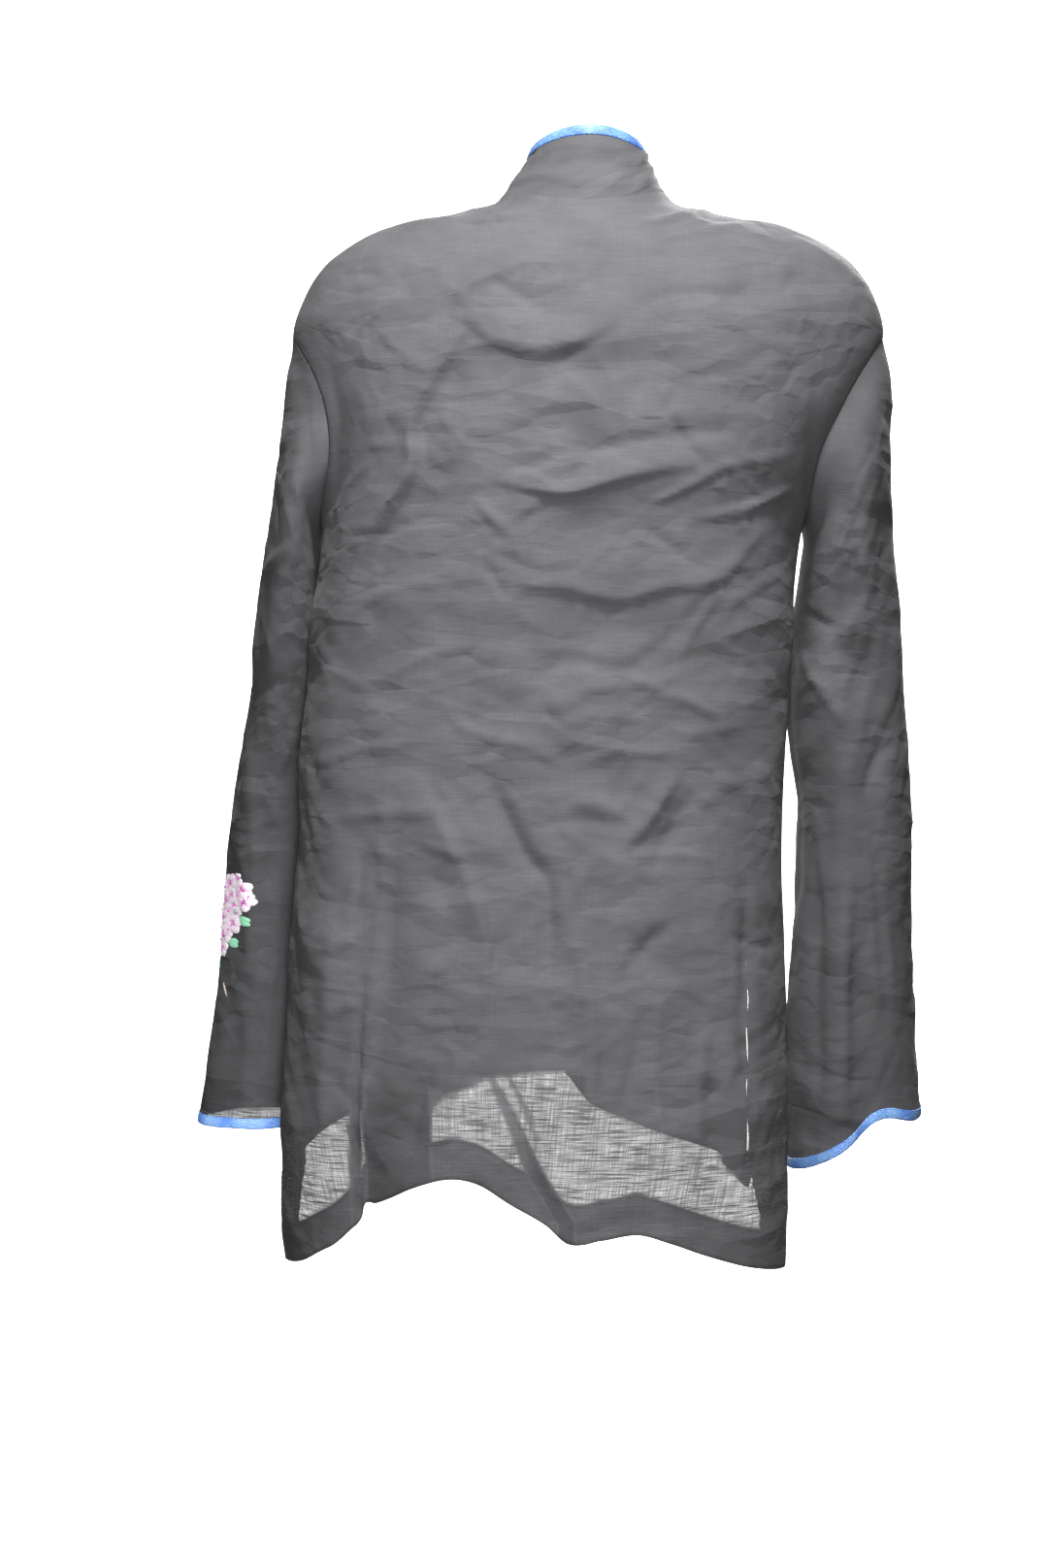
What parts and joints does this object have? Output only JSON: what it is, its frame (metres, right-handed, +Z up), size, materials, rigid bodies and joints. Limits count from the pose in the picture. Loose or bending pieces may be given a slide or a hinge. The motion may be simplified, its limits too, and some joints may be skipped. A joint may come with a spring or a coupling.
{
  "type": "blouse",
  "caption": "Long-sleeved linen tunic blouse with a stand collar, satin-bound collar and cuffs, an embroidered sleeve and side vents, in its worn, hollow form.",
  "frame": {"origin": "middle of the neck opening, level with the neck ends of the shoulder seams", "axes": "+Z up, towards the collar; the wearer's front faces -Y and the back +Y; +X is the wearer's left"},
  "size_m": [0.562, 0.2943, 0.8223],
  "materials": {
    "linen": "charcoal plain-weave linen, crinkled and slightly sheer",
    "satin": "blue satin binding",
    "button": "dark polished resin"
  },
  "bodies": {
    "root": {"back": "linen", "front_left": "linen", "front_right": "linen", "collar_stand": "linen", "collar_binding": "satin", "sleeve_left": "linen", "sleeve_right": "linen", "cuff_binding_left": "satin", "cuff_binding_right": "satin", "button_1": "button", "button_2": "button", "button_3": "button", "button_4": "button", "button_5": "button", "button_6": "button"}
  },
  "joints": []
}
